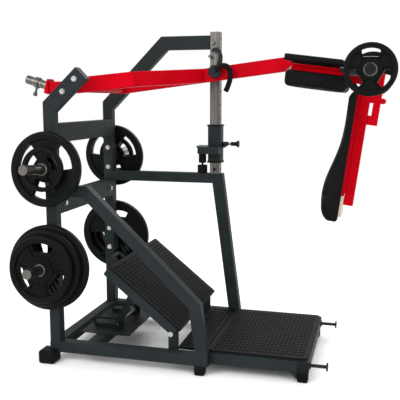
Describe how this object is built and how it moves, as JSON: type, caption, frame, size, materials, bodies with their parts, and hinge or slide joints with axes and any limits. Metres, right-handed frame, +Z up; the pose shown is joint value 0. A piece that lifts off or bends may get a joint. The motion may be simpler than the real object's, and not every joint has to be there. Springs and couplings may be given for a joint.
{
  "type": "plate-loaded squat machine",
  "caption": "Plate-loaded lever squat machine with a red swinging arm, shoulder and back pads, a hinged footplate, a platform, weight storage pegs and a pinned stop on a steel post.",
  "frame": {"origin": "bottom centre of the machine's bounding box, on the floor", "axes": "+X from the rear tower towards the platform, +Y towards the side with the steel post, +Z up"},
  "size_m": [2.081, 1.4102, 1.806],
  "materials": {
    "frame_paint": "textured powder coat",
    "arm_paint": "satin powder coat",
    "steel": "satin",
    "zinc": "zinc plated",
    "rubber_black": "matte",
    "plate_rubber": "black rubber skin over cast iron",
    "pad_cover": "satin",
    "board": "matte",
    "black_plastic": "matte"
  },
  "bodies": {
    "frame": {"uprights": "frame_paint", "far_top_frame": "frame_paint", "tower_crossbars": "frame_paint", "far_side_frame": "frame_paint", "near_brace": "frame_paint", "base_side_tubes": "frame_paint", "base_cross_tubes": "frame_paint", "platform_tubes": "frame_paint", "deck_plates": "frame_paint", "front_mat": "rubber_black", "rear_mat": "rubber_black", "rear_feet": "rubber_black", "base_feet": "rubber_black", "band_pegs": "frame_paint", "post": "steel", "catch_pin": "steel", "pivot_bearings": "frame_paint", "frame_bolts": "zinc", "storage_pegs": "steel", "footplate_mounts": "frame_paint", "hinge_bolts": "zinc", "beam_bumper": "rubber_black"},
    "press_arm": {"pivot_axle": "steel", "torque_tube": "arm_paint", "near_arm_tubes": "arm_paint", "far_arm_tube": "arm_paint", "elbow_tube": "arm_paint", "counterweight_tail": "arm_paint", "tail_peg": "steel", "tail_collar": "steel", "carriage_frame": "arm_paint", "shoulder_boards": "arm_paint", "back_board": "board", "near_shoulder_pad": "pad_cover", "far_shoulder_pad": "pad_cover", "back_pad": "pad_cover", "handle_tubes": "frame_paint", "handle_grips": "rubber_black", "arm_weight_pegs": "steel", "arm_peg_caps": "black_plastic"},
    "latch": {"latch_hub": "frame_paint", "latch_claw": "frame_paint", "latch_lever": "rubber_black"},
    "stop_carriage": {"stop_sleeve": "frame_paint", "stop_bushings": "black_plastic", "stop_bar": "frame_paint", "stop_bumper": "rubber_black"},
    "pop_pin": {"pop_pin": "steel", "pop_pin_knob": "black_plastic"},
    "footplate": {"footplate_plate": "frame_paint", "footplate_mat": "rubber_black", "footplate_frame": "frame_paint"},
    "prop": {"prop_legs": "frame_paint", "prop_rods": "steel"},
    "near_upper_plates": {"near_upper_plates": "plate_rubber"},
    "far_upper_plates": {"far_upper_plates": "plate_rubber"},
    "near_lower_plates": {"near_lower_plates": "plate_rubber"},
    "far_lower_plates": {"far_lower_plates": "plate_rubber"},
    "near_arm_plate": {"near_arm_plate": "plate_rubber"},
    "far_arm_plate": {"far_arm_plate": "plate_rubber"}
  },
  "joints": [
    {"name": "arm_pivot", "type": "hinge", "parent": "frame", "child": "press_arm", "pos_m": [-0.56947, 0, 1.482], "axis": [0, 1, 0], "range_deg": [-5, 20]},
    {"name": "latch_pivot", "type": "hinge", "parent": "press_arm", "child": "latch", "pos_m": [0.02853, 0, 1.57], "axis": [0, 1, 0], "range_deg": [-24, 12]},
    {"name": "stop_height", "type": "slide", "parent": "frame", "child": "stop_carriage", "axis": [0, 0, 1], "range_m": [0, 0.156]},
    {"name": "pop_pin_push", "type": "slide", "parent": "stop_carriage", "child": "pop_pin", "axis": [-1, 0, 0], "range_m": [0, 0.016]},
    {"name": "footplate_angle", "type": "hinge", "parent": "frame", "child": "footplate", "pos_m": [-0.04547, 0, 0.2], "axis": [0, 1, 0], "range_deg": [-14, 0]},
    {"name": "prop_swing", "type": "hinge", "parent": "footplate", "child": "prop", "pos_m": [-0.30192, 0, 0.40768], "axis": [0, 1, 0], "range_deg": [0, 37]},
    {"name": "near_upper_plates_slide", "type": "slide", "parent": "frame", "child": "near_upper_plates", "axis": [0, -0.9969, 0.0785], "range_m": [0, 0.28]},
    {"name": "near_lower_plates_slide", "type": "slide", "parent": "frame", "child": "near_lower_plates", "axis": [0, -0.9969, 0.0785], "range_m": [0, 0.28]},
    {"name": "near_arm_plate_slide", "type": "slide", "parent": "press_arm", "child": "near_arm_plate", "axis": [0, -1, 0], "range_m": [0, 0.12]},
    {"name": "far_upper_plates_slide", "type": "slide", "parent": "frame", "child": "far_upper_plates", "axis": [0, 0.9969, 0.0785], "range_m": [0, 0.28]},
    {"name": "far_lower_plates_slide", "type": "slide", "parent": "frame", "child": "far_lower_plates", "axis": [0, 0.9969, 0.0785], "range_m": [0, 0.28]},
    {"name": "far_arm_plate_slide", "type": "slide", "parent": "press_arm", "child": "far_arm_plate", "axis": [0, 1, 0], "range_m": [0, 0.12]}
  ],
  "couplings": [
    {"joint": "prop_swing", "follows": "footplate_angle", "ratio": -2.614}
  ]
}
